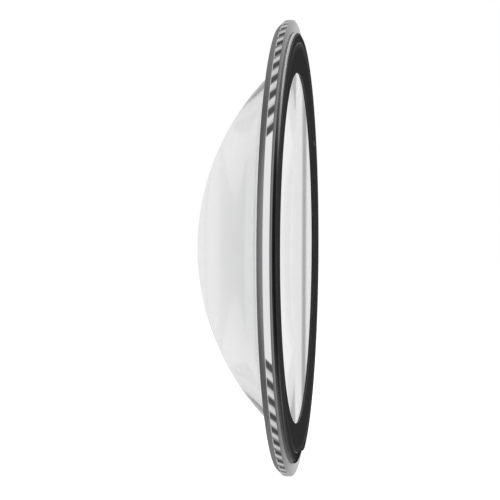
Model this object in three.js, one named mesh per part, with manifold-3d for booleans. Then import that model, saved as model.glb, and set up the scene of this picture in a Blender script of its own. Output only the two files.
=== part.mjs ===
// A domed, air-spaced lens doublet in a slim screw-in cell, for a 2 inch (M48 x 0.75) filter thread.
// Units are millimetres. +X is the optical axis and points out of the threaded side, -X out of the dome,
// and +Z is up. The pieces are laid out from the grip ring's seat face, at x = 0, the face that stops
// against the tube the lens screws into. The assembly is then centred on the origin along the axis.

import * as THREE from 'three';
import { mergeVertices } from 'three/addons/utils/BufferGeometryUtils.js';
import Module from 'manifold-3d';

const wasm = await Module();
wasm.setup();

// ---------------------------------------------------------------- driving dimensions

// Grip ring, which is knurled between two plain thumb pads
const GRIP_RADIUS = 25.4;
const GRIP_BORE_RADIUS = 24.05;
const GRIP_LIP_RADIUS = 20.95;
const GRIP_LIP_THICKNESS = 0.35;
const GRIP_FRONT_CHAMFER = 0.08;
const REAR_BEVEL_LENGTH = 0.68;
const REAR_BEVEL_DEPTH = 0.65;
const KNURL_LENGTH = 0.67;
const KNURL_DEPTH = 0.14;
const KNURL_PITCH_DEG = 5;
const KNURL_SLANT_DEG = 45;
const PAD_HALF_ANGLE_DEG = 26;

// Thread ring, the black ring with the male M48 thread
const THREAD_RADIUS = 24;
const THREAD_PITCH = 0.75;
const THREAD_DEPTH = 0.38;
const THREAD_FLAT = 0.125;
const SPIGOT_LENGTH = 0.61;
const THREAD_END_CHAMFER = 0.3;
const CELL_BORE_RADIUS = 22.95;
const RELIEF_DEPTH = 0.35;
const RELIEF_HALF_ANGLE_DEG = 12.3;

// Retaining ring, with a shallow conical face and two spanner slots
const RETAINER_RADIUS = 22.85;
const APERTURE_RADIUS = 19.6;
const RETAINER_INNER_EDGE = 0.18;
const RETAINER_OUTER_EDGE = 0.4;
const RETAINER_RIM_WIDTH = 0.5;
const RETAINER_CHAMFER = 0.1;
const SLOT_WIDTH = 1.6;
const SLOT_INNER_RADIUS = 21.4;
const SLOT_DEPTH = 0.25;
const SLOT_ANGLE_DEG = 38;

// Doublet: a domed meniscus in front of a plano-convex element, with a thin air gap between them
const DOME_RADIUS = 27.1;
const DOME_HEIGHT = 9.42;
const INTERFACE_RADIUS = 34;
const FRONT_ELEMENT_THICKNESS = 3;
const AIR_GAP = 0.15;
const LENS_EDGE_RADIUS = 22.3;
const LENS_FOOT_THICKNESS = 0.42;

// Soft and thin pieces
const SEAL_THICKNESS = 0.12;
const SEAL_MARGIN = 0.1;
const WASHER_THICKNESS = 0.1;
const WASHER_INNER_RADIUS = 19.85;
const WASHER_OUTER_RADIUS = 21;
const CENTRING_INNER_RADIUS = 22.37;
const CENTRING_OUTER_RADIUS = 22.87;
const SHIM_THICKNESS = 0.08;
const SHIM_LENGTH = 1.4;
const SHIM_WIDTH = 0.8;
const SHIM_COUNT = 3;

// Assembly gap left between pieces that touch on the real part
const FIT_GAP = 0.03;

// Facets: two segments of the grip ring make one rib and one groove
const GRIP_SEGMENTS = (2 * 360) / KNURL_PITCH_DEG;
const RING_SEGMENTS = 72;
const THREAD_ROWS = 12;
const DOME_STEPS = 11;
const INTERFACE_STEPS = 8;

// Two lengths closer than this are the same, and corners this close are one
const SAME_LENGTH = 1e-3;
const SAME_POINT = 1e-4;

// ---------------------------------------------------------------- positions along the axis

const KNURL_FRONT_X = -GRIP_FRONT_CHAMFER;
const KNURL_REAR_X = KNURL_FRONT_X - KNURL_LENGTH;
const KNURL_MIDDLE_X = (KNURL_FRONT_X + KNURL_REAR_X) / 2;
const REAR_X = KNURL_REAR_X - REAR_BEVEL_LENGTH;
const LIP_X = REAR_X + GRIP_LIP_THICKNESS;
const SEAL_REAR_X = LIP_X + FIT_GAP;
const SHOULDER_X = SEAL_REAR_X + SEAL_THICKNESS + FIT_GAP;
const FOOT_X = SHOULDER_X + LENS_FOOT_THICKNESS;
const APEX_X = REAR_X - DOME_HEIGHT;
const DOME_CENTRE_X = APEX_X + DOME_RADIUS;
const INTERFACE_CENTRE_X = APEX_X + FRONT_ELEMENT_THICKNESS + INTERFACE_RADIUS;
const FLAT_X = 0;
const WASHER_X = FLAT_X + FIT_GAP;
const RETAINER_X = WASHER_X + WASHER_THICKNESS + FIT_GAP;

// ---------------------------------------------------------------- materials

const satinMetal = { color: 0x8f9092, roughness: 0.32, metalness: 0.9 };
const blackAnodised = { color: 0x1d1d1f, roughness: 0.45, metalness: 0.5 };
const clearGlass = { color: 0xe9ecec, roughness: 0.05, metalness: 0 };
const sealRubber = { color: 0x161616, roughness: 0.8, metalness: 0 };
const blackPtfe = { color: 0x202021, roughness: 0.6, metalness: 0 };
const foilMetal = { color: 0xb4b6b8, roughness: 0.35, metalness: 1 };

// ---------------------------------------------------------------- helpers

const degrees = THREE.MathUtils.degToRad;

// Radius at which a sphere centred on the axis reaches the plane at x.
function sphereRadiusAt(radius, centreX, x) {
  return Math.sqrt(radius ** 2 - (x - centreX) ** 2);
}

// Points of a sphere's -X side, from polar angle a to polar angle b about -X.
function sphereArc(radius, centreX, a, b, steps) {
  const points = [];
  for (let i = 0; i <= steps; i += 1) {
    const polar = a + ((b - a) * i) / steps;
    points.push([centreX - radius * Math.cos(polar), radius * Math.sin(polar)]);
  }
  return points;
}

// Turns a profile of [x, radius] points about the X axis. With x to the right and radius up, the points
// run anticlockwise. A ring's profile is closed here, and a lens's starts and ends on the axis.
function turned(profile, segments) {
  const points = profile.map(([x, radius]) => new THREE.Vector2(Math.max(radius, 0), x));
  const onAxis = profile[0][1] < SAME_POINT;
  if (!onAxis) {
    points.push(points[0].clone());
  }
  points.reverse();
  const geometry = new THREE.LatheGeometry(points, segments);
  geometry.rotateZ(-Math.PI / 2);
  return geometry;
}

// Moves each vertex in cylindrical terms: edit gets and returns { x, radius, angle }, with the angle
// about +X measured from +Y towards +Z.
function reshape(geometry, edit) {
  const position = geometry.attributes.position;
  for (let i = 0; i < position.count; i += 1) {
    const y = position.getY(i);
    const z = position.getZ(i);
    const edited = edit({ x: position.getX(i), radius: Math.hypot(y, z), angle: Math.atan2(z, y) });
    position.setXYZ(
      i,
      edited.x,
      edited.radius * Math.cos(edited.angle),
      edited.radius * Math.sin(edited.angle),
    );
  }
  return geometry;
}

function toManifold(geometry) {
  const bare = geometry.clone();
  bare.deleteAttribute('normal');
  bare.deleteAttribute('uv');
  const merged = mergeVertices(bare, SAME_POINT);
  const triVerts = new Uint32Array(merged.index.array);
  const vertProperties = new Float32Array(merged.attributes.position.array);
  return new wasm.Manifold(new wasm.Mesh({ numProp: 3, vertProperties, triVerts }));
}

function fromManifold(solid) {
  const mesh = solid.getMesh();
  const geometry = new THREE.BufferGeometry();
  geometry.setAttribute('position', new THREE.BufferAttribute(mesh.vertProperties, 3));
  geometry.setIndex(new THREE.BufferAttribute(mesh.triVerts, 1));
  return geometry;
}

function cut(geometry, ...tools) {
  let solid = toManifold(geometry);
  for (const tool of tools) {
    solid = solid.subtract(toManifold(tool));
  }
  return fromManifold(solid);
}

function piece(name, geometry, finish) {
  const mesh = new THREE.Mesh(geometry, new THREE.MeshStandardMaterial(finish));
  mesh.name = name;
  return mesh;
}

// ---------------------------------------------------------------- grip ring

// How far round the ring an angle is from the middle of the nearer thumb pad, in degrees.
function degreesFromPad(angle) {
  const fromY = Math.abs(THREE.MathUtils.radToDeg(angle));
  return Math.min(fromY, 180 - fromY);
}

// The ribs slant one way over the top of the ring and the other way under the bottom. Ribs and grooves
// alternate from one segment to the next, a groove is half as deep at its two ends, and the two plain
// pads stay at the full radius.
function knurl({ x, radius, angle }) {
  const inBand = radius > GRIP_RADIUS - SAME_LENGTH;
  if (!inBand || degreesFromPad(angle) < PAD_HALF_ANGLE_DEG) {
    return { x, radius, angle };
  }
  const index = Math.round(THREE.MathUtils.radToDeg(angle) / (KNURL_PITCH_DEG / 2));
  const isGroove = Math.abs(index % 2) === 1;
  const atMiddle = Math.abs(x - KNURL_MIDDLE_X) < SAME_LENGTH;
  const fullDepth = isGroove ? KNURL_DEPTH : 0;
  const depth = atMiddle ? fullDepth : fullDepth / 2;
  const hand = angle > 0 ? -1 : 1;
  const slide = (x - KNURL_MIDDLE_X) * Math.tan(degrees(KNURL_SLANT_DEG));
  return { x, radius: radius - depth, angle: angle + (hand * slide) / GRIP_RADIUS };
}

function gripRing() {
  const profile = [
    [0, GRIP_BORE_RADIUS],
    [0, GRIP_RADIUS - GRIP_FRONT_CHAMFER],
    [KNURL_FRONT_X, GRIP_RADIUS],
    [KNURL_MIDDLE_X, GRIP_RADIUS],
    [KNURL_REAR_X, GRIP_RADIUS],
    [REAR_X, GRIP_RADIUS - REAR_BEVEL_DEPTH],
    [REAR_X, GRIP_LIP_RADIUS],
    [LIP_X, GRIP_LIP_RADIUS],
    [LIP_X, GRIP_BORE_RADIUS],
  ];
  return reshape(turned(profile, GRIP_SEGMENTS), knurl);
}

// ---------------------------------------------------------------- thread ring

// A right-hand helical V thread cut into the outer wall, with a flat crest and a flat root that each
// take THREAD_FLAT of the pitch.
function threadForm({ x, radius, angle }) {
  if (radius < THREAD_RADIUS - SAME_LENGTH) {
    return { x, radius, angle };
  }
  const turn = x / THREAD_PITCH - angle / (2 * Math.PI);
  const fromCrest = 2 * Math.abs(turn - Math.round(turn));
  const flank = (fromCrest - THREAD_FLAT) / (1 - 2 * THREAD_FLAT);
  const groove = THREE.MathUtils.clamp(flank, 0, 1);
  return { x, radius: radius - THREAD_DEPTH * groove, angle };
}

function threadRing() {
  const rearX = LIP_X + FIT_GAP;
  const threadEndX = SPIGOT_LENGTH - THREAD_END_CHAMFER / 2;
  const profile = [
    [rearX, CELL_BORE_RADIUS],
    [SPIGOT_LENGTH, CELL_BORE_RADIUS],
    [SPIGOT_LENGTH, THREAD_RADIUS - THREAD_END_CHAMFER],
  ];
  for (let row = 0; row < THREAD_ROWS; row += 1) {
    const x = threadEndX + ((rearX - threadEndX) * row) / (THREAD_ROWS - 1);
    profile.push([x, THREAD_RADIUS]);
  }
  const ring = reshape(turned(profile, RING_SEGMENTS), threadForm);
  const reliefWidth = 2 * THREAD_RADIUS * Math.sin(degrees(RELIEF_HALF_ANGLE_DEG));
  const reliefHeight = 2 * (THREAD_RADIUS - CELL_BORE_RADIUS * Math.cos(degrees(RELIEF_HALF_ANGLE_DEG)));
  const relief = new THREE.BoxGeometry(2 * RELIEF_DEPTH, reliefWidth, 2 * reliefHeight);
  relief.translate(SPIGOT_LENGTH, 0, -THREAD_RADIUS);
  return cut(ring, relief);
}

// ---------------------------------------------------------------- retaining ring

// A slot runs from its inner radius out through the rim, and the cutter is twice as long and as deep.
function spannerSlot(angle) {
  const length = RETAINER_RADIUS - SLOT_INNER_RADIUS;
  const slot = new THREE.BoxGeometry(2 * SLOT_DEPTH, 2 * length, SLOT_WIDTH);
  slot.translate(RETAINER_X + RETAINER_OUTER_EDGE, SLOT_INNER_RADIUS + length, 0);
  slot.rotateX(angle);
  return slot;
}

function retainingRing() {
  const faceX = RETAINER_X + RETAINER_OUTER_EDGE;
  const profile = [
    [RETAINER_X, APERTURE_RADIUS],
    [RETAINER_X + RETAINER_INNER_EDGE, APERTURE_RADIUS],
    [faceX, RETAINER_RADIUS - RETAINER_RIM_WIDTH],
    [faceX, RETAINER_RADIUS - RETAINER_CHAMFER],
    [faceX - RETAINER_CHAMFER, RETAINER_RADIUS],
    [RETAINER_X, RETAINER_RADIUS],
  ];
  const ring = turned(profile, RING_SEGMENTS);
  const slotAngle = degrees(SLOT_ANGLE_DEG);
  return cut(ring, spannerSlot(slotAngle), spannerSlot(slotAngle + Math.PI));
}

// ---------------------------------------------------------------- doublet

// Polar angle, about the interface's centre, at which the front element's back surface meets its foot.
const interfaceEdgePolar = Math.acos((INTERFACE_CENTRE_X - FOOT_X) / INTERFACE_RADIUS);

function frontElement() {
  const shoulderRadius = sphereRadiusAt(DOME_RADIUS, DOME_CENTRE_X, SHOULDER_X);
  const domeEdgePolar = Math.asin(shoulderRadius / DOME_RADIUS);
  const profile = [
    ...sphereArc(INTERFACE_RADIUS, INTERFACE_CENTRE_X, 0, interfaceEdgePolar, INTERFACE_STEPS),
    [FOOT_X, LENS_EDGE_RADIUS],
    [SHOULDER_X, LENS_EDGE_RADIUS],
    ...sphereArc(DOME_RADIUS, DOME_CENTRE_X, domeEdgePolar, 0, DOME_STEPS),
  ];
  return turned(profile, RING_SEGMENTS);
}

function rearElement() {
  const radius = INTERFACE_RADIUS - AIR_GAP;
  const arc = sphereArc(radius, INTERFACE_CENTRE_X, interfaceEdgePolar, 0, INTERFACE_STEPS);
  const edgeRadius = arc[0][1];
  const profile = [[FLAT_X, 0], [FLAT_X, edgeRadius], ...arc];
  return turned(profile, RING_SEGMENTS);
}

// A foil shim lies in the air gap, parallel to the last facet of the two facing surfaces.
function spacerShim(angle) {
  const halfStep = interfaceEdgePolar / INTERFACE_STEPS / 2;
  const polar = interfaceEdgePolar - halfStep;
  const middle = (INTERFACE_RADIUS - AIR_GAP / 2) * Math.cos(halfStep);
  const shim = new THREE.BoxGeometry(SHIM_THICKNESS, SHIM_WIDTH, SHIM_LENGTH);
  shim.rotateZ(-polar);
  const facetRadius = middle * Math.sin(polar) * Math.cos(Math.PI / RING_SEGMENTS);
  shim.translate(INTERFACE_CENTRE_X - middle * Math.cos(polar), facetRadius, 0);
  shim.rotateX(angle);
  return shim;
}

// ---------------------------------------------------------------- thin rings

function flatRing(x, thickness, innerRadius, outerRadius) {
  const profile = [
    [x, innerRadius],
    [x + thickness, innerRadius],
    [x + thickness, outerRadius],
    [x, outerRadius],
  ];
  return turned(profile, RING_SEGMENTS);
}

// ---------------------------------------------------------------- assembly

const cell = new THREE.Group();
cell.add(piece('grip_ring', gripRing(), satinMetal));
cell.add(piece('thread_ring', threadRing(), blackAnodised));
cell.add(
  piece(
    'centring_ring',
    flatRing(SHOULDER_X, FLAT_X - SHOULDER_X, CENTRING_INNER_RADIUS, CENTRING_OUTER_RADIUS),
    blackAnodised,
  ),
);
cell.add(
  piece(
    'lens_seal',
    flatRing(
      SEAL_REAR_X,
      SEAL_THICKNESS,
      GRIP_LIP_RADIUS + SEAL_MARGIN,
      LENS_EDGE_RADIUS - SEAL_MARGIN,
    ),
    sealRubber,
  ),
);

const doublet = new THREE.Group();
doublet.add(piece('front_element', frontElement(), clearGlass));
doublet.add(piece('rear_element', rearElement(), clearGlass));
const halfFacet = Math.PI / RING_SEGMENTS;
for (let i = 0; i < SHIM_COUNT; i += 1) {
  const angle = Math.PI / 2 + halfFacet + (i * 2 * Math.PI) / SHIM_COUNT;
  doublet.add(piece(`spacer_shim_${i + 1}`, spacerShim(angle), foilMetal));
}

const retainer = new THREE.Group();
retainer.add(
  piece(
    'slip_washer',
    flatRing(WASHER_X, WASHER_THICKNESS, WASHER_INNER_RADIUS, WASHER_OUTER_RADIUS),
    blackPtfe,
  ),
);
retainer.add(piece('retaining_ring', retainingRing(), blackAnodised));

const lens = new THREE.Group();
lens.add(cell, doublet, retainer);
lens.position.x = -(APEX_X + SPIGOT_LENGTH) / 2;

export default lens;
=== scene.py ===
"""Looks of a domed screw-in lens: knurled metal ring, black threaded collar and a two-element dome.

Every piece but the three foil spacers is turned about the X axis, the optical axis. Lengths are in
metres, as the frame's are, and mm() turns millimetres into them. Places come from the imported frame.
"""

import math

import bmesh
import bpy
import numpy as np
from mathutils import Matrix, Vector


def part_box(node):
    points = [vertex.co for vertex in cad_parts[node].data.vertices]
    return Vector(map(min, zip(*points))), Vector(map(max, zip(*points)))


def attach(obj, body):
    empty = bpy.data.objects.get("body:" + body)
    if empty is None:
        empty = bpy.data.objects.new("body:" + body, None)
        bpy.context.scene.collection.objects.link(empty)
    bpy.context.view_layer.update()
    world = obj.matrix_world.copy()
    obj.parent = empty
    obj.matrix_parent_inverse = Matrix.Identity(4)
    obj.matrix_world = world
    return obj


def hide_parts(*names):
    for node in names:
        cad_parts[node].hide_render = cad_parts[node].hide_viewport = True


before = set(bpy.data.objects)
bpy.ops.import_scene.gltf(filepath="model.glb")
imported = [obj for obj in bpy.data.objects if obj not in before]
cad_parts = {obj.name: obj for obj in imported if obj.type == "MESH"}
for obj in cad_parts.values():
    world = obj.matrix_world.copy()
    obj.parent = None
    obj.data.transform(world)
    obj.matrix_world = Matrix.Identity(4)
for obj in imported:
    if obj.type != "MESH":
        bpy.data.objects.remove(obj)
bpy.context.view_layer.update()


def mm(value):
    return value * 0.001


# ------------------------------------------------------------------ sizes, from the frame

GRIP_LO, GRIP_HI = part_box("grip_ring")
THREAD_LO, THREAD_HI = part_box("thread_ring")
RETAINER_LO, RETAINER_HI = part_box("retaining_ring")
FRONT_LO, FRONT_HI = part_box("front_element")
REAR_LO, REAR_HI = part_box("rear_element")

GRIP_RADIUS = GRIP_HI.z
GRIP_REAR_X = GRIP_LO.x
SEAT_X = GRIP_HI.x
THREAD_RADIUS = THREAD_HI.z
THREAD_END_X = THREAD_HI.x
THREAD_REAR_X = THREAD_LO.x
RETAINER_RADIUS = RETAINER_HI.z
EDGE_RADIUS = FRONT_HI.z
APEX_X = FRONT_LO.x
FOOT_X = FRONT_HI.x
INNER_APEX_X = REAR_LO.x
FLAT_X = REAR_HI.x

# Grip ring
BORE_RADIUS = THREAD_RADIUS + mm(0.05)
LIP_RADIUS = mm(20.95)
LIP_THICKNESS = mm(0.35)
FRONT_CHAMFER = mm(0.08)
BEVEL_DEPTH = mm(0.65)
KNURL_LENGTH = mm(0.67)
KNURL_DEPTH = mm(0.2)
KNURL_COUNT = 72
KNURL_SLANT = math.tan(math.radians(50)) / GRIP_RADIUS
KNURL_RUN_OUT = mm(0.04)
PAD_HALF_ANGLE = math.radians(26)
PAD_EDGE = math.radians(0.3)

# Thread ring
CELL_BORE_RADIUS = mm(22.95)
THREAD_PITCH = mm(0.75)
THREAD_DEPTH = mm(0.4)
THREAD_FLAT = 0.125
THREAD_END_CHAMFER = mm(0.3)
THREAD_END_CHAMFER_LENGTH = mm(0.16)
RELIEF_DEPTH = mm(0.35)
RELIEF_HALF_ANGLE = math.radians(12.3)
RELIEF_EDGE = math.radians(0.2)

# Retaining ring
APERTURE_RADIUS = mm(19.6)
RETAINER_INNER_EDGE = mm(0.18)
RETAINER_RIM_WIDTH = mm(0.5)
RETAINER_CHAMFER = mm(0.1)
SLOT_ANGLE = math.radians(38)
SLOT_HALF_WIDTH = mm(0.8)
SLOT_INNER_RADIUS = mm(21.4)
SLOT_DEPTH = mm(0.25)
SLOT_EDGE = mm(0.03)

# Thin rings
CENTRING_BORE_RADIUS = mm(22.37)
SEAL_BORE_RADIUS = mm(21.05)
WASHER_BORE_RADIUS = mm(19.85)

# Glass
DOME_RADIUS = mm(27.1)
INTERFACE_RADIUS = mm(34)
AIR_GAP = mm(0.15)
FOOT_THICKNESS = mm(0.42)
SHOULDER_X = FOOT_X - FOOT_THICKNESS

# A point this close to a cylinder lies on it
ON_WALL = mm(0.001)

# Steps round the axis, and along the curves of the glass
GRIP_STEPS = KNURL_COUNT * 18
THREAD_STEPS = 900
RETAINER_STEPS = 1440
THIN_RING_STEPS = 256
LENS_STEPS = 320
DOME_STEPS = 96
INTERFACE_STEPS = 72

# Longest steps along a profile, where its shape changes from one angle to the next
KNURL_STEP = mm(0.025)
THREAD_STEP = mm(0.04)
SLOT_STEP = mm(0.06)


# ------------------------------------------------------------------ mesh code

def arc(centre, radius, start, end, steps):
    """Points (x, r) of an arc in a profile's plane; angles run from +x towards +r."""
    return [
        (centre[0] + radius * math.cos(a), centre[1] + radius * math.sin(a))
        for a in np.linspace(start, end, steps + 1)
    ]


CORNER_STEPS = 3
SHARP_ANGLE = math.radians(30)


def rounded(corners, radius):
    """A closed profile with each corner rounded. A corner may carry its own radius as a third value."""
    points = []
    count = len(corners)
    for i, corner in enumerate(corners):
        here = Vector(corner[:2])
        before = Vector(corners[i - 1][:2]) - here
        after = Vector(corners[(i + 1) % count][:2]) - here
        own = corner[2] if len(corner) > 2 else radius
        reach = min(own, before.length * 0.45, after.length * 0.45)
        if reach <= 0:
            points.append(tuple(here))
            continue
        start = here + before.normalized() * reach
        end = here + after.normalized() * reach
        for t in np.linspace(0, 1, CORNER_STEPS + 1):
            points.append(tuple(start * (1 - t) ** 2 + here * 2 * t * (1 - t) + end * t**2))
    return points


def subdivided(points, longest, above=0.0):
    """The same closed profile with no long steps where its radius is above a limit."""
    result = []
    for i, point in enumerate(points):
        start = Vector(point)
        end = Vector(points[(i + 1) % len(points)])
        inside = min(start.y, end.y) > above
        pieces = max(1, math.ceil((end - start).length / longest)) if inside else 1
        for k in range(pieces):
            result.append(tuple(start.lerp(end, k / pieces)))
    return result


def shade(work, limit):
    """Shades every face smooth, and leaves the edges that bend by more than the limit sharp."""
    for face in work.faces:
        face.smooth = True
    for edge in work.edges:
        if edge.calc_face_angle(0) > limit:
            edge.smooth = False


def linked(name, work):
    """Turns finished bmesh work into an object in the scene."""
    mesh = bpy.data.meshes.new(name)
    work.to_mesh(mesh)
    work.free()
    obj = bpy.data.objects.new(name, mesh)
    bpy.context.scene.collection.objects.link(obj)
    return obj


def revolved_verts(work, points, wear_and_light, on_axis):
    """A grid of vertices, with one row for each angle. A lens's rows share the two ends on the axis."""
    layer = work.verts.layers.float.new("wear_and_painted_light")
    ends = (0, points.shape[1] - 1)
    grid = []
    for i, places in enumerate(points):
        row = []
        for k, place in enumerate(places):
            if on_axis and i > 0 and k in ends:
                row.append(grid[0][k])
                continue
            vert = work.verts.new(place)
            vert[layer] = wear_and_light[i, k]
            row.append(vert)
        grid.append(row)
    return grid


def revolved_faces(work, grid, on_axis):
    """Joins each row to the next. A ring's profile closes on itself, and a lens's doesn't."""
    count = len(grid[0])
    span = count - 1 if on_axis else count
    for i, this in enumerate(grid):
        following = grid[(i + 1) % len(grid)]
        for k in range(span):
            upper = (k + 1) % count
            corners = [this[k], this[upper], following[upper], following[k]]
            unique = list(dict.fromkeys(corners))
            if len(unique) > 2:
                work.faces.new(unique)


def revolve(name, profile, steps, shape=None, wear_and_painted_light=None, on_axis=False):
    """Turns a profile of (x, r) about the X axis.

    The profile runs anticlockwise with x to the right and r up. shape(x, r, angle) returns the moved
    x, r and angle as arrays, and the other function, for materials, a value from 0 to 1 for each point:
    rubbing and polish, and on the grip and thread rings painted light and painted shade.
    """
    base = np.array(profile, float)
    angles = np.linspace(0, 2 * math.pi, steps, endpoint=False)
    x, angle = np.meshgrid(base[:, 0], angles)
    r = np.meshgrid(base[:, 1], angles)[0]
    wear_and_light = wear_and_painted_light(x, r, angle) if wear_and_painted_light else np.zeros_like(x)
    if shape:
        x, r, angle = shape(x, r, angle)
    points = np.stack([x, r * np.cos(angle), r * np.sin(angle)], axis=-1)
    work = bmesh.new()
    grid = revolved_verts(work, points, wear_and_light, on_axis)
    revolved_faces(work, grid, on_axis)
    work.normal_update()
    shade(work, SHARP_ANGLE)
    return linked(name, work)


def smoothstep(value, low, high):
    t = np.clip((value - low) / (high - low), 0, 1)
    return t * t * (3 - 2 * t)


def signed(angle):
    """The same angle between -pi and pi."""
    return (angle + math.pi) % (2 * math.pi) - math.pi


def install(obj, body, node, slot, material):
    """Puts a finished piece in the place of its CAD node.

    The fittings are left out of what the glass mirrors and bends, which keeps the dome pale.
    """
    obj.data.materials.append(material)
    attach(obj, body)
    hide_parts(node)
    if slot != "glass":
        obj.visible_glossy = False
        obj.visible_transmission = False
    return obj


# ------------------------------------------------------------------ material code

class Nodes:
    """Short names for building a node tree."""

    def __init__(self, tree):
        self.tree = tree

    def add(self, kind, inputs=None, **settings):
        made = self.tree.nodes.new(kind)
        for key, value in settings.items():
            setattr(made, key, value)
        for key, value in (inputs or {}).items():
            self.feed(made.inputs[key], value)
        return made

    def feed(self, socket, value):
        if isinstance(value, bpy.types.NodeSocket):
            self.tree.links.new(value, socket)
        else:
            socket.default_value = value

    def math(self, operation, *values):
        made = self.add("ShaderNodeMath", operation=operation)
        for i, value in enumerate(values):
            self.feed(made.inputs[i], value)
        return made.outputs[0]

    def spread(self, value, low, high, to_low=0.0, to_high=1.0):
        """Maps a value from low..high to to_low..to_high, clamped, with soft ends."""
        made = self.add("ShaderNodeMapRange", interpolation_type="SMOOTHSTEP")
        for key, item in zip(("Value", "From Min", "From Max", "To Min", "To Max"),
                             (value, low, high, to_low, to_high)):
            self.feed(made.inputs[key], item)
        return made.outputs[0]

    def mix(self, factor, a, b):
        """A colour between a and b. The node's sockets 6 and 7 and its output 2 are the colour ones."""
        made = self.add("ShaderNodeMix", data_type="RGBA")
        self.feed(made.inputs["Factor"], factor)
        self.feed(made.inputs[6], a)
        self.feed(made.inputs[7], b)
        return made.outputs[2]

    def blend(self, factor, a, b):
        """A number between a and b."""
        made = self.add("ShaderNodeMix", {"Factor": factor, "A": a, "B": b})
        return made.outputs[0]

    def noise(self, vector, scale, detail=3.0, roughness=0.55):
        made = self.add("ShaderNodeTexNoise", {
            "Vector": vector, "Scale": scale, "Detail": detail, "Roughness": roughness})
        return made.outputs["Fac"]

    def turned_coordinates(self, across, around):
        """A vector that changes fast across a turned piece and slowly round it, as its turning lines do."""
        place = self.add("ShaderNodeTexCoord").outputs["Object"]
        split = self.add("ShaderNodeSeparateXYZ", {0: place})
        x, y, z = split.outputs
        squares = self.math("MULTIPLY", y, y), self.math("MULTIPLY", z, z)
        radius = self.math("SQRT", self.math("ADD", *squares))
        angle = self.math("ARCTAN2", z, y)
        made = self.add("ShaderNodeCombineXYZ", {
            0: self.math("MULTIPLY", x, 1000 * across),
            1: self.math("MULTIPLY", radius, 1000 * across),
            2: self.math("MULTIPLY", angle, around)})
        return made.outputs[0]

    def place(self):
        """The object's coordinates, in millimetres."""
        made = self.add("ShaderNodeVectorMath", operation="SCALE")
        self.feed(made.inputs[0], self.add("ShaderNodeTexCoord").outputs["Object"])
        made.inputs["Scale"].default_value = 1000
        return made.outputs[0]

    def wear_and_painted_light(self):
        """The value that revolve's marking function gave each point: rubbing and polish, and painted light
        and painted shade.
        """
        return self.add("ShaderNodeAttribute", attribute_name="wear_and_painted_light").outputs["Fac"]

    def bump(self, height, strength, distance):
        made = self.add("ShaderNodeBump", {"Height": height, "Strength": strength, "Distance": distance})
        return made.outputs[0]

    def facing(self):
        """How squarely the surface faces the viewer: 0 at its outline, 1 square on."""
        geometry = self.add("ShaderNodeNewGeometry").outputs
        made = self.add("ShaderNodeVectorMath", operation="DOT_PRODUCT")
        self.feed(made.inputs[0], geometry["Normal"])
        self.feed(made.inputs[1], geometry["Incoming"])
        return self.math("ABSOLUTE", made.outputs["Value"])

    def along_axis(self, output):
        """How nearly the Geometry node's Normal or Incoming runs along the optical axis, 0 to 1."""
        direction = self.add("ShaderNodeNewGeometry").outputs[output]
        return self.math("ABSOLUTE", self.add("ShaderNodeSeparateXYZ", {0: direction}).outputs[0])


def new_material(name):
    made = bpy.data.materials.new(name)
    made.use_nodes = True
    made.node_tree.nodes.clear()
    nodes = Nodes(made.node_tree)
    shader = nodes.add("ShaderNodeBsdfPrincipled")
    output = nodes.add("ShaderNodeOutputMaterial")
    made.node_tree.links.new(shader.outputs[0], output.inputs[0])
    return made, nodes, shader


def grey(level):
    return (level, level, level, 1.0)


def satin_metal():
    """Satin silver-grey metal, turned, polished on its edges, and painted dark as shade in the grooves of
    the knurl and on the seat face.
    """
    made, nodes, shader = new_material("grip_metal")
    lines = nodes.noise(nodes.turned_coordinates(9, 1.2), 4.0, 4.0)
    blotch = nodes.noise(nodes.place(), 0.35, 2.0)
    wear_and_light = nodes.wear_and_painted_light()
    polish = nodes.spread(wear_and_light, 0.55, 1.0)
    # Painted shade: where the attribute is low, in the knurl's grooves and on the seat face, the metal is
    # painted dark and made rougher.
    painted_shade = nodes.spread(wear_and_light, 0.45, 0.0)
    base = nodes.mix(nodes.spread(lines, 0.3, 0.7), (0.56, 0.562, 0.568, 1), (0.68, 0.682, 0.688, 1))
    base = nodes.mix(nodes.spread(blotch, 0.35, 0.65, 0.0, 0.35), base, (0.56, 0.56, 0.57, 1))
    base = nodes.mix(polish, base, (0.86, 0.86, 0.87, 1))
    base = nodes.mix(painted_shade, base, (0.10, 0.10, 0.105, 1))
    roughness = nodes.spread(lines, 0.25, 0.75, 0.22, 0.34)
    roughness = nodes.math("SUBTRACT", roughness, nodes.math("MULTIPLY", polish, 0.08))
    roughness = nodes.math("ADD", roughness, nodes.math("MULTIPLY", painted_shade, 0.25))
    nodes.feed(shader.inputs["Base Color"], base)
    nodes.feed(shader.inputs["Roughness"], roughness)
    shader.inputs["Metallic"].default_value = 1.0
    nodes.feed(shader.inputs["Normal"], nodes.bump(lines, 0.25, mm(0.004)))
    return made


def black_anodise():
    """Black anodised aluminium, satin on its walls and matt on its ends. Where the attribute is set it is
    painted paler: painted light on the thread, and a faint rubbed trace on the retaining ring's rim.
    """
    made, nodes, shader = new_material("black_anodise")
    lines = nodes.noise(nodes.turned_coordinates(9, 1.5), 3.0, 3.0)
    grain = nodes.noise(nodes.place(), 9.0, 2.0)
    base = nodes.mix(nodes.spread(grain, 0.35, 0.65), grey(0.018), grey(0.030))
    # Painted paler where the attribute is set: painted light on the thread, a faint rubbed trace on the
    # retaining ring's rim.
    base = nodes.mix(nodes.wear_and_painted_light(), base, grey(0.30))
    on_end = nodes.along_axis("Normal")
    nodes.feed(shader.inputs["Base Color"], base)
    nodes.feed(shader.inputs["Roughness"], nodes.spread(lines, 0.3, 0.7, 0.42, 0.58))
    nodes.feed(shader.inputs["Specular IOR Level"], nodes.spread(on_end, 0.5, 0.95, 0.25, 0.0))
    height = nodes.math("ADD", lines, nodes.math("MULTIPLY", grain, 0.5))
    nodes.feed(shader.inputs["Normal"], nodes.bump(height, 0.3, mm(0.004)))
    return made


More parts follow.
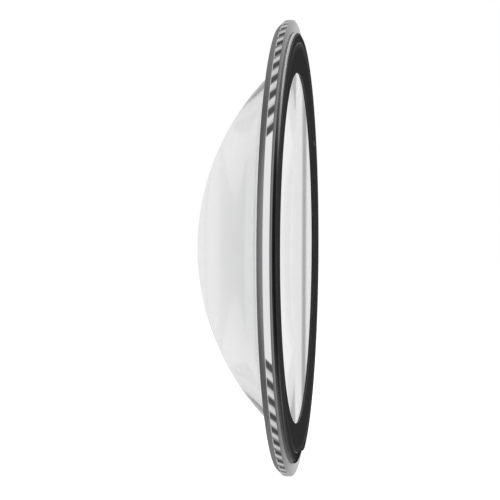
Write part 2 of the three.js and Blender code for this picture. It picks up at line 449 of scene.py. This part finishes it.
def lens_glass(name, outline, clean, dusty):
    """Clear polished glass with faint dusty specks and wipe marks, painted lighter towards its outline as a
    painted sheen.

    Seen along the axis, its fittings show through.
    """
    made, nodes, shader = new_material(name)
    dust_and_sheen = nodes.noise(nodes.place(), 1.4, 5.0, 0.7)
    wipe = nodes.noise(nodes.turned_coordinates(0.6, 2.0), 1.2, 3.0)
    haze = nodes.math("MULTIPLY", nodes.spread(dust_and_sheen, 0.4, 0.7), nodes.spread(wipe, 0.3, 0.7))
    frontal = nodes.spread(nodes.along_axis("Incoming"), 0.25, 0.7, 0.0, 0.5)
    seen = nodes.math("MULTIPLY", frontal, nodes.add("ShaderNodeLightPath").outputs["Is Camera Ray"])
    # Painted sheen: the colour is lighter where the surface is seen edge-on, towards the outline.
    square_on = nodes.spread(nodes.facing(), 0.3, 0.58)
    nodes.feed(shader.inputs["Base Color"], nodes.mix(square_on, outline, nodes.mix(haze, clean, dusty)))
    nodes.feed(shader.inputs["Alpha"], nodes.math("SUBTRACT", 1.0, seen))
    nodes.feed(shader.inputs["Normal"], nodes.bump(dust_and_sheen, 0.05, mm(0.0005)))
    shader.inputs["Roughness"].default_value = 0
    shader.inputs["IOR"].default_value = 1.52
    shader.inputs["Transmission Weight"].default_value = 1.0
    return made


def seal_rubber():
    """Matt black moulded rubber with a fine grain."""
    made, nodes, shader = new_material("seal_rubber")
    grain = nodes.noise(nodes.place(), 14.0, 4.0)
    nodes.feed(shader.inputs["Base Color"], nodes.mix(grain, grey(0.012), grey(0.03)))
    nodes.feed(shader.inputs["Roughness"], nodes.spread(grain, 0.3, 0.7, 0.65, 0.85))
    nodes.feed(shader.inputs["Normal"], nodes.bump(grain, 0.4, mm(0.01)))
    return made


def black_ptfe():
    """Waxy black PTFE with the marks of the blade that skived it."""
    made, nodes, shader = new_material("ptfe")
    cloud = nodes.noise(nodes.place(), 1.1, 3.0)
    skive = nodes.noise(nodes.turned_coordinates(6, 1.0), 3.0, 2.0)
    nodes.feed(shader.inputs["Base Color"], nodes.mix(cloud, grey(0.018), grey(0.035)))
    nodes.feed(shader.inputs["Roughness"], nodes.spread(skive, 0.3, 0.7, 0.5, 0.7))
    shader.inputs["Specular IOR Level"].default_value = 0.15
    nodes.feed(shader.inputs["Normal"], nodes.bump(skive, 0.3, mm(0.005)))
    return made


def bright_foil():
    """Bright rolled metal foil."""
    made, nodes, shader = new_material("foil")
    rolled = nodes.noise(nodes.place(), 6.0, 3.0)
    nodes.feed(shader.inputs["Base Color"], nodes.mix(rolled, grey(0.62), grey(0.74)))
    nodes.feed(shader.inputs["Roughness"], nodes.spread(rolled, 0.3, 0.7, 0.22, 0.35))
    shader.inputs["Metallic"].default_value = 1.0
    nodes.feed(shader.inputs["Normal"], nodes.bump(rolled, 0.3, mm(0.004)))
    return made


METAL = satin_metal()
BLACK = black_anodise()
RUBBER = seal_rubber()
PTFE = black_ptfe()
FOIL = bright_foil()
FRONT_GLASS = lens_glass("front_glass", grey(0.93), (0.72, 0.723, 0.723, 1), (0.68, 0.683, 0.685, 1))
REAR_GLASS = lens_glass("rear_glass", grey(0.96), (0.94, 0.942, 0.942, 1), (0.91, 0.912, 0.915, 1))


# ------------------------------------------------------------------ grip ring

KNURL_FRONT_X = SEAT_X - FRONT_CHAMFER
KNURL_REAR_X = KNURL_FRONT_X - KNURL_LENGTH
KNURL_MIDDLE_X = (KNURL_FRONT_X + KNURL_REAR_X) / 2


def knurl_depth(x, r, angle):
    """0 on a rib's crest and on the thumb pads, and 1 at the bottom of a groove.

    The grooves slant one way over the top of the ring and the other way under the bottom.
    """
    turn = signed(angle)
    hand = np.where(turn > 0, 1.0, -1.0)
    slanted = turn + hand * KNURL_SLANT * (x - KNURL_MIDDLE_X)
    phase = slanted * KNURL_COUNT / (2 * math.pi)
    from_crest = 2 * np.abs(phase - np.round(phase))
    groove = smoothstep(from_crest, 0.2, 0.8)
    from_pad = np.minimum(np.abs(slanted), math.pi - np.abs(slanted))
    past_pad = smoothstep(from_pad, PAD_HALF_ANGLE - PAD_EDGE, PAD_HALF_ANGLE + PAD_EDGE)
    inside = smoothstep(x, KNURL_REAR_X, KNURL_REAR_X + KNURL_RUN_OUT)
    inside = inside * smoothstep(KNURL_FRONT_X - x, 0, KNURL_RUN_OUT)
    return groove * past_pad * inside * (r > GRIP_RADIUS - mm(0.03))


def knurled(x, r, angle):
    """Cuts the grooves of the knurl."""
    return x, r - KNURL_DEPTH * knurl_depth(x, r, angle), angle


def grip_wear_and_painted_shade(x, r, angle):
    """Polish and painted shade: 0 in the dull grooves, painted dark as shade, 0.5 on plain turned faces,
    0.9 on the pads and 0.74 on the ribs' crests.

    The seat face and its chamfer are painted darker as shade, most of it on the -Y side.
    """
    outer = smoothstep(r, GRIP_RADIUS - mm(0.10), GRIP_RADIUS)
    pad_edge = math.sin(PAD_HALF_ANGLE)
    beside_pads = smoothstep(np.abs(np.sin(angle)), pad_edge, pad_edge + 0.05)
    bright = 0.5 + (0.4 - 0.16 * beside_pads) * outer
    # Painted shade on the seat face and its chamfer, strongest on the -Y side.
    seat_shade_strength = 0.2 + 0.65 * smoothstep(-np.cos(angle), -0.4, 0.9)
    seat_painted_shade = (x > SEAT_X - FRONT_CHAMFER * 1.1) * seat_shade_strength
    return bright * (1 - knurl_depth(x, r, angle)) * (1 - seat_painted_shade)


def build_grip_ring():
    corners = [
        (SEAT_X, BORE_RADIUS, mm(0.04)),
        (SEAT_X, GRIP_RADIUS - FRONT_CHAMFER, mm(0.02)),
        (SEAT_X - FRONT_CHAMFER, GRIP_RADIUS, mm(0.02)),
        (KNURL_REAR_X, GRIP_RADIUS, mm(0.03)),
        (GRIP_REAR_X, GRIP_RADIUS - BEVEL_DEPTH, mm(0.06)),
        (GRIP_REAR_X, LIP_RADIUS, mm(0.05)),
        (GRIP_REAR_X + LIP_THICKNESS, LIP_RADIUS, mm(0.02)),
        (GRIP_REAR_X + LIP_THICKNESS, BORE_RADIUS, mm(0.05)),
    ]
    profile = subdivided(rounded(corners, mm(0.03)), KNURL_STEP, above=GRIP_RADIUS - mm(0.002))
    ring = revolve("grip_ring_turned", profile, GRIP_STEPS, knurled, grip_wear_and_painted_shade)
    return install(ring, "grip", "grip_ring", "grip_metal", METAL)


# ------------------------------------------------------------------ black rings

def thread_form(x, angle):
    """0 on the crest and 1 at the root of a right-hand V thread with small flats."""
    turn = (x - SEAT_X) / THREAD_PITCH - angle / (2 * math.pi)
    from_crest = 2 * np.abs(turn - np.round(turn))
    return np.clip((from_crest - THREAD_FLAT) / (1 - 2 * THREAD_FLAT), 0, 1)


def in_relief(angle):
    """1 inside the shallow relief at the bottom of the thread ring's end."""
    from_bottom = np.abs(signed(angle + math.pi / 2))
    return 1 - smoothstep(from_bottom, RELIEF_HALF_ANGLE - RELIEF_EDGE, RELIEF_HALF_ANGLE + RELIEF_EDGE)


def threaded(x, r, angle):
    """Cuts the thread, which runs out at the ring's end, and sinks the relief."""
    outer = r > THREAD_RADIUS - ON_WALL
    run_out = smoothstep(THREAD_END_X - x, mm(0.02), mm(0.12))
    cut = np.where(outer, THREAD_DEPTH * (thread_form(x, angle) * run_out), 0)
    relief_floor = THREAD_END_X - RELIEF_DEPTH
    above = np.maximum(x - relief_floor, 0) * in_relief(angle)
    return x - above, r - cut, angle


def thread_painted_light(x, r, angle):
    """Paints the thread paler where it faces up, as painted light from the soft box above, and a little
    paler underneath, less so in the thread's roots.
    """
    height = np.sin(angle)
    # Painted light on the top of the thread, and a weaker pale band underneath.
    dust_and_sheen = smoothstep(height, 0.25, 0.75) + 0.45 * smoothstep(-height, 0.35, 0.7)
    on_wall = (r > THREAD_RADIUS - ON_WALL) * (x < THREAD_END_X - mm(0.1))
    return dust_and_sheen * on_wall * (1 - 0.3 * thread_form(x, angle))


def build_thread_ring():
    corners = [
        (THREAD_REAR_X, CELL_BORE_RADIUS, mm(0.03)),
        (THREAD_END_X, CELL_BORE_RADIUS, mm(0.06)),
        (THREAD_END_X, THREAD_RADIUS - THREAD_END_CHAMFER, mm(0.04)),
        (THREAD_END_X - THREAD_END_CHAMFER_LENGTH, THREAD_RADIUS, 0),
        (THREAD_REAR_X, THREAD_RADIUS, 0),
    ]
    profile = subdivided(rounded(corners, mm(0.03)), THREAD_STEP)
    ring = revolve("thread_ring_turned", profile, THREAD_STEPS, threaded, thread_painted_light)
    return install(ring, "cell", "thread_ring", "black_anodise", BLACK)


def slotted(x, r, angle):
    """Sinks the two spanner slots into the retaining ring's face."""
    along = np.abs(r * np.cos(angle - SLOT_ANGLE))
    aside = np.abs(r * np.sin(angle - SLOT_ANGLE))
    past_end = smoothstep(along, SLOT_INNER_RADIUS, SLOT_INNER_RADIUS + SLOT_EDGE)
    past_side = smoothstep(aside, SLOT_HALF_WIDTH - SLOT_EDGE, SLOT_HALF_WIDTH + SLOT_EDGE)
    floor_x = RETAINER_HI.x - SLOT_DEPTH
    return x - np.maximum(x - floor_x, 0) * past_end * (1 - past_side), r, angle


def retainer_wear(x, r, angle):
    """A faint trace of rubbing on the flat rim of the retaining ring's face."""
    on_face = smoothstep(x, RETAINER_HI.x - mm(0.03), RETAINER_HI.x)
    on_rim = smoothstep(r, RETAINER_RADIUS - mm(0.6), RETAINER_RADIUS - mm(0.4))
    return 0.05 * on_face * on_rim


def build_retaining_ring():
    back, face = RETAINER_LO.x, RETAINER_HI.x
    corners = [
        (back, APERTURE_RADIUS, mm(0.02)),
        (back + RETAINER_INNER_EDGE, APERTURE_RADIUS, mm(0.03)),
        (face, RETAINER_RADIUS - RETAINER_RIM_WIDTH, mm(0.04)),
        (face, RETAINER_RADIUS - RETAINER_CHAMFER, mm(0.02)),
        (face - RETAINER_CHAMFER, RETAINER_RADIUS, mm(0.02)),
        (back, RETAINER_RADIUS, mm(0.02)),
    ]
    profile = subdivided(rounded(corners, mm(0.03)), SLOT_STEP)
    ring = revolve("retaining_ring_turned", profile, RETAINER_STEPS, slotted, retainer_wear)
    return install(ring, "retainer", "retaining_ring", "black_anodise", BLACK)


def build_plain_ring(name, node, body, slot, material, inner_radius, softness):
    """A thin flat ring or sleeve that fills its CAD node's box."""
    low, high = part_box(node)
    corners = [
        (low.x, inner_radius),
        (high.x, inner_radius),
        (high.x, high.z),
        (low.x, high.z),
    ]
    ring = revolve(name, rounded(corners, softness), THIN_RING_STEPS)
    return install(ring, body, node, slot, material)


def build_centring_ring():
    where = "centring_ring_turned", "centring_ring", "cell"
    return build_plain_ring(*where, "black_anodise", BLACK, CENTRING_BORE_RADIUS, mm(0.04))


def build_lens_seal():
    where = "lens_seal_moulded", "lens_seal", "seal"
    return build_plain_ring(*where, "seal_rubber", RUBBER, SEAL_BORE_RADIUS, mm(0.05))


def build_slip_washer():
    where = "slip_washer_cut", "slip_washer", "washer"
    return build_plain_ring(*where, "ptfe", PTFE, WASHER_BORE_RADIUS, mm(0.02))


# ------------------------------------------------------------------ glass

DOME_CENTRE_X = APEX_X + DOME_RADIUS
INTERFACE_CENTRE_X = INNER_APEX_X - AIR_GAP + INTERFACE_RADIUS


def sphere_radius_at(radius, centre_x, x):
    return math.sqrt(radius**2 - (x - centre_x) ** 2)


def build_front_element():
    """A meniscus with a ground foot: concave back, cylindrical edge, shoulder and dome."""
    shoulder = sphere_radius_at(DOME_RADIUS, DOME_CENTRE_X, SHOULDER_X)
    inner = sphere_radius_at(INTERFACE_RADIUS, INTERFACE_CENTRE_X, FOOT_X)
    back_end = math.pi - math.asin(inner / INTERFACE_RADIUS)
    dome_end = math.pi - math.asin(shoulder / DOME_RADIUS)
    bevel = mm(0.05)
    profile = arc((INTERFACE_CENTRE_X, 0), INTERFACE_RADIUS, math.pi, back_end, INTERFACE_STEPS)
    profile += [
        (FOOT_X, EDGE_RADIUS - bevel),
        (FOOT_X - bevel, EDGE_RADIUS),
        (SHOULDER_X + bevel, EDGE_RADIUS),
        (SHOULDER_X, EDGE_RADIUS - bevel),
    ]
    profile += arc((DOME_CENTRE_X, 0), DOME_RADIUS, dome_end, math.pi, DOME_STEPS)
    element = revolve("front_element_glass", profile, LENS_STEPS, on_axis=True)
    return install(element, "doublet", "front_element", "glass", FRONT_GLASS)


def build_rear_element():
    """A plano-convex element whose flat side is the window on the threaded side."""
    radius = INTERFACE_RADIUS - AIR_GAP
    edge = REAR_HI.z
    back_end = math.pi - math.asin(edge / radius)
    bevel = mm(0.04)
    profile = [(FLAT_X, 0), (FLAT_X, edge * 0.5), (FLAT_X, edge - bevel), (FLAT_X - bevel, edge)]
    profile += arc((INTERFACE_CENTRE_X, 0), radius, back_end, math.pi, INTERFACE_STEPS)
    element = revolve("rear_element_glass", profile, LENS_STEPS, on_axis=True)
    return install(element, "doublet", "rear_element", "glass", REAR_GLASS)


SHIM_ROWS = 15
SHIM_COLUMNS = 9
SHIM_SHARP_ANGLE = math.radians(40)


def shim_frame(node):
    """A spacer's centre, its long, wide and thin axes, and how far it reaches along each."""
    corners = np.array([v.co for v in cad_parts[node].data.vertices], float)
    centre = corners.mean(axis=0)
    axes = np.linalg.svd(np.unique(np.round(corners, 7), axis=0) - centre)[2]
    reach = np.abs((corners - centre) @ axes.T).max(axis=0)
    return centre, axes, reach


def shim_sheet(work, side, centre, axes, reach):
    """One face of a spacer as a grid of vertices, crinkled and with its corners drawn in."""
    sheet = []
    for i in range(SHIM_ROWS + 1):
        row = []
        for j in range(SHIM_COLUMNS + 1):
            u = 2 * i / SHIM_ROWS - 1
            v = 2 * j / SHIM_COLUMNS - 1
            clip = 1 - 0.48 * max(0, abs(u) + abs(v) - 1.75)
            crinkle = 0.1 * math.sin(9 * u) * math.sin(7 * v)
            local = np.array([u * clip, v * clip, 0.7 * side + crinkle])
            row.append(work.verts.new(centre + (local * reach) @ axes))
        sheet.append(row)
    return sheet


def build_shim(node):
    """A foil tab, slightly crinkled and with clipped corners, in the gap between the two elements."""
    work = bmesh.new()
    low, high = [shim_sheet(work, side, *shim_frame(node)) for side in (-1, 1)]
    for sheet in (low, high):
        for i in range(SHIM_ROWS):
            for j in range(SHIM_COLUMNS):
                work.faces.new([sheet[i][j], sheet[i][j + 1], sheet[i + 1][j + 1], sheet[i + 1][j]])
    for i in range(SHIM_ROWS):
        for j in (0, SHIM_COLUMNS):
            work.faces.new([low[i][j], low[i + 1][j], high[i + 1][j], high[i][j]])
    for j in range(SHIM_COLUMNS):
        for i in (0, SHIM_ROWS):
            work.faces.new([low[i][j], low[i][j + 1], high[i][j + 1], high[i][j]])
    bmesh.ops.recalc_face_normals(work, faces=work.faces)
    shade(work, SHIM_SHARP_ANGLE)
    return install(linked(node + "_foil", work), "doublet", node, "foil", FOIL)


# ------------------------------------------------------------------ the object

build_grip_ring()
build_thread_ring()
build_retaining_ring()
build_centring_ring()
build_lens_seal()
build_slip_washer()
build_front_element()
build_rear_element()
for shim in ("spacer_shim_1", "spacer_shim_2", "spacer_shim_3"):
    build_shim(shim)


# ------------------------------------------------------------------ stage

FLOOR_REACH = 3.0
FLOOR_GAP = mm(0.3)


def build_floor(height):
    """A white table top, bright enough in itself that the lens's shadow stays faint."""
    far = FLOOR_REACH
    corners = [(-far, -far, height), (far, -far, height), (far, far, height), (-far, far, height)]
    mesh = bpy.data.meshes.new("floor")
    mesh.from_pydata(corners, [], [(0, 1, 2, 3)])
    made = bpy.data.objects.new("floor", mesh)
    bpy.context.scene.collection.objects.link(made)
    material, nodes, shader = new_material("floor")
    paper = nodes.noise(nodes.place(), 0.05, 2.0)
    nodes.feed(shader.inputs["Base Color"], nodes.mix(paper, grey(0.13), grey(0.15)))
    shader.inputs["Roughness"].default_value = 0.9
    shader.inputs["Specular IOR Level"].default_value = 0.0
    shader.inputs["Emission Color"].default_value = grey(1.0)
    shader.inputs["Emission Strength"].default_value = 0.97
    mesh.materials.append(material)
    made.visible_glossy = False
    made.visible_transmission = False


# The dark upright's direction from the lens: how far it is along +X for each unit along +Y
UPRIGHT_SLOPE = 0.0921
UPRIGHT_HALF_WIDTH = 0.0022


def studio_level(nodes, path):
    """How bright the studio looks in a mirror.

    Satin metal sees it dimmer on the left and behind, which polished glass doesn't. Behind the lens
    stands a thin dark upright, which the window mirrors as a line.
    """
    direction = nodes.add("ShaderNodeTexCoord").outputs["Generated"]
    x, y = nodes.add("ShaderNodeSeparateXYZ", {0: direction}).outputs[:2]
    satin = nodes.math("SUBTRACT", 1.0, path["Is Singular Ray"])
    behind_left = nodes.math("MULTIPLY", nodes.spread(y, 0.0, 0.4), nodes.spread(x, 0.07, 0.01, 0.0, 0.68))
    left = nodes.spread(x, -0.55, -0.85, 0.0, 0.65)
    slope = nodes.math("DIVIDE", x, nodes.math("MAXIMUM", y, 0.01))
    off_line = nodes.math("ABSOLUTE", nodes.math("SUBTRACT", slope, UPRIGHT_SLOPE))
    dimmings = (
        nodes.math("MULTIPLY", behind_left, satin),
        nodes.math("MULTIPLY", left, satin),
        nodes.spread(off_line, UPRIGHT_HALF_WIDTH, 0.0004, 0.0, 0.75),
    )
    level = nodes.spread(y, -0.2, 0.2, 0.95, 0.82)
    for dimming in dimmings:
        level = nodes.math("MULTIPLY", level, nodes.math("SUBTRACT", 1.0, dimming))
    return level


def build_world():
    """A white studio: plain white to the camera and through glass, and half as bright on matt surfaces."""
    world = bpy.data.worlds.new("studio")
    bpy.context.scene.world = world
    world.use_nodes = True
    world.node_tree.nodes.clear()
    nodes = Nodes(world.node_tree)
    path = nodes.add("ShaderNodeLightPath").outputs
    plain = nodes.math("MAXIMUM", path["Is Camera Ray"], path["Is Transmission Ray"])
    level = nodes.blend(path["Is Diffuse Ray"], studio_level(nodes, path), 0.5)
    level = nodes.blend(plain, level, 1.0)
    background = nodes.add("ShaderNodeBackground", {"Color": grey(1.0), "Strength": level})
    output = nodes.add("ShaderNodeOutputWorld")
    world.node_tree.links.new(background.outputs[0], output.inputs[0])


OVERHEAD_HEIGHT = 0.5
OVERHEAD_SIDE = 0.5
OVERHEAD_WATTS = 7.0


def build_overhead_light():
    """A soft box straight above the lens, which lights what is matt and leaves no glare on metal."""
    data = bpy.data.lights.new("overhead", "AREA")
    data.shape = "SQUARE"
    data.size = OVERHEAD_SIDE
    data.energy = OVERHEAD_WATTS
    light = bpy.data.objects.new("overhead", data)
    bpy.context.scene.collection.objects.link(light)
    light.location = (0, 0, OVERHEAD_HEIGHT)
    light.visible_glossy = False
    light.visible_transmission = False
    light.visible_camera = False


# From beside the lens, 5.6 degrees to the threaded side of square on
CAMERA_DISTANCE = mm(170.2)
CAMERA_PAST_SEAT = mm(16.6)
CAMERA_DROP = mm(0.22)
CAMERA_ROLL = math.radians(-0.22)
CAMERA_TURN = math.radians(7.3)
CAMERA_LENS = 109.4
SENSOR_WIDTH = 36


def build_camera():
    """Level with the optical axis and a little to the threaded side, turned to bring the lens mid-frame."""
    data = bpy.data.cameras.new("camera")
    data.sensor_width = SENSOR_WIDTH
    data.lens = CAMERA_LENS
    data.clip_start = mm(5)
    data.clip_end = 20
    camera = bpy.data.objects.new("camera", data)
    bpy.context.scene.collection.objects.link(camera)
    camera.location = (SEAT_X + CAMERA_PAST_SEAT, -CAMERA_DISTANCE, -CAMERA_DROP)
    camera.rotation_euler = (math.pi / 2, CAMERA_ROLL, CAMERA_TURN)
    bpy.context.scene.camera = camera


def set_view():
    """Plain colours, and enough bounces for light to leave the glass again."""
    scene = bpy.context.scene
    scene.view_settings.view_transform = "Standard"
    scene.view_settings.look = "None"
    scene.cycles.use_denoising = True
    scene.cycles.max_bounces = 20
    scene.cycles.glossy_bounces = 12
    scene.cycles.transmission_bounces = 20


build_floor(GRIP_LO.z - FLOOR_GAP)
build_world()
build_overhead_light()
build_camera()
set_view()
